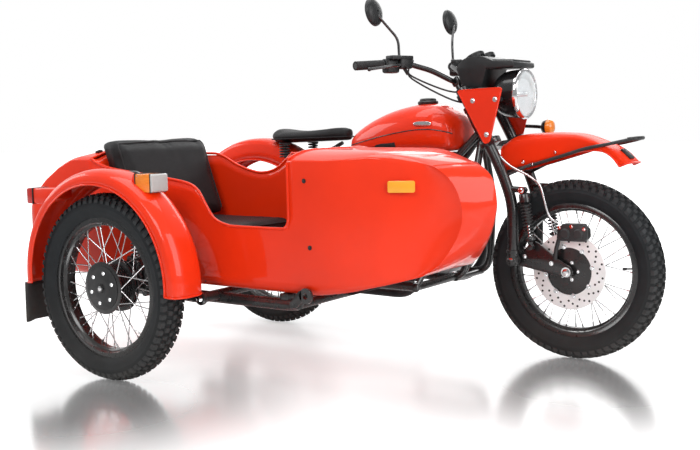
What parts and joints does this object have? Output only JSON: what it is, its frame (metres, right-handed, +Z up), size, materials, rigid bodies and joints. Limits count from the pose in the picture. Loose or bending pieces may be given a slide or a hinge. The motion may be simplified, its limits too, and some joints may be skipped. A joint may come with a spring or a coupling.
{
  "type": "sidecar motorcycle",
  "caption": "Three-wheeled sidecar motorcycle with leading-link fork, flat-twin engine, saddle, open passenger tub with padded seat, hinged trunk lid and wire-spoked wheels.",
  "frame": {"origin": "on the ground, under the middle of the whole vehicle's bounding box", "axes": "+X forward along the direction of travel, +Y to the rider's left, +Z up"},
  "size_m": [2.363, 1.6381, 1.3978],
  "materials": {
    "paint": "high-gloss orange-red enamel",
    "frame_black": "gloss black paint",
    "tyre": "matte tread rubber with block pattern",
    "rim_black": "satin black powder coat with bright spokes",
    "disc_steel": "machined",
    "engine_alloy": "cast and machined, satin",
    "exhaust_black": "heat-proof black, satin",
    "black_plastic": "fine-textured moulding",
    "grip_rubber": "ribbed rubber",
    "seat_vinyl": "grained black upholstery with seams",
    "amber_lens": "ribbed amber lens",
    "red_lens": "ribbed red lens",
    "lamp_glass": "clear fluted glass over a reflector",
    "mirror_black": "black shell with mirror glass",
    "bright_steel": "zinc-plated",
    "flap_rubber": "matte sheet rubber"
  },
  "bodies": {
    "chassis": {"motorcycle_frame": "frame_black", "engine": "engine_alloy", "cylinders": "engine_alloy", "carburettors": "engine_alloy", "exhaust": "exhaust_black", "fuel_tank": "paint", "saddle": "seat_vinyl", "saddle_springs": "bright_steel", "rear_fender": "paint", "tail_lamp": "red_lens", "swingarm": "frame_black", "final_drive": "engine_alloy", "shock_absorbers": "frame_black", "footrests": "grip_rubber", "sidecar_frame": "frame_black", "sidecar_struts": "frame_black", "sidecar_swingarm": "frame_black", "sidecar_tub": "paint", "seat_cushion": "seat_vinyl", "seat_back": "seat_vinyl", "sidecar_fender": "paint", "mudflap": "flap_rubber", "sidecar_lamps": "red_lens"},
    "steering": {"front_fork": "frame_black", "leading_links": "frame_black", "front_shocks": "frame_black", "front_fender": "paint", "fender_guard": "frame_black", "headlamp": "black_plastic", "headlamp_lens": "lamp_glass", "lamp_brackets": "paint", "instrument_pod": "black_plastic", "handlebar": "frame_black", "hand_controls": "grip_rubber", "mirrors": "mirror_black", "front_signal": "amber_lens", "brake_caliper": "frame_black"},
    "front_wheel": {"front_tyre": "tyre", "front_rim": "rim_black", "front_hub": "frame_black", "brake_disc": "disc_steel"},
    "rear_wheel": {"rear_tyre": "tyre", "rear_rim": "rim_black", "rear_hub": "frame_black"},
    "sidecar_wheel": {"sidecar_tyre": "tyre", "sidecar_rim": "rim_black", "sidecar_hub": "frame_black"},
    "trunk_lid": {"trunk_lid": "paint"}
  },
  "joints": [
    {"name": "steering", "type": "hinge", "parent": "chassis", "child": "steering", "pos_m": [0.4685, 0.405, 0.827], "axis": [-0.4695, 0, 0.8829], "range_deg": [-35, 35]},
    {"name": "front_wheel_spin", "type": "hinge", "parent": "steering", "child": "front_wheel", "pos_m": [0.8385, 0.405, 0.343], "axis": [0, 1, 0], "continuous": true},
    {"name": "rear_wheel_spin", "type": "hinge", "parent": "chassis", "child": "rear_wheel", "pos_m": [-0.6315, 0.405, 0.343], "axis": [0, 1, 0], "continuous": true},
    {"name": "sidecar_wheel_spin", "type": "hinge", "parent": "chassis", "child": "sidecar_wheel", "pos_m": [-0.4685, -0.742, 0.343], "axis": [0, 1, 0], "continuous": true},
    {"name": "trunk_lid_hinge", "type": "hinge", "parent": "chassis", "child": "trunk_lid", "pos_m": [-0.941, -0.285, 0.779], "axis": [0, 1, 0], "range_deg": [0, 75]}
  ]
}
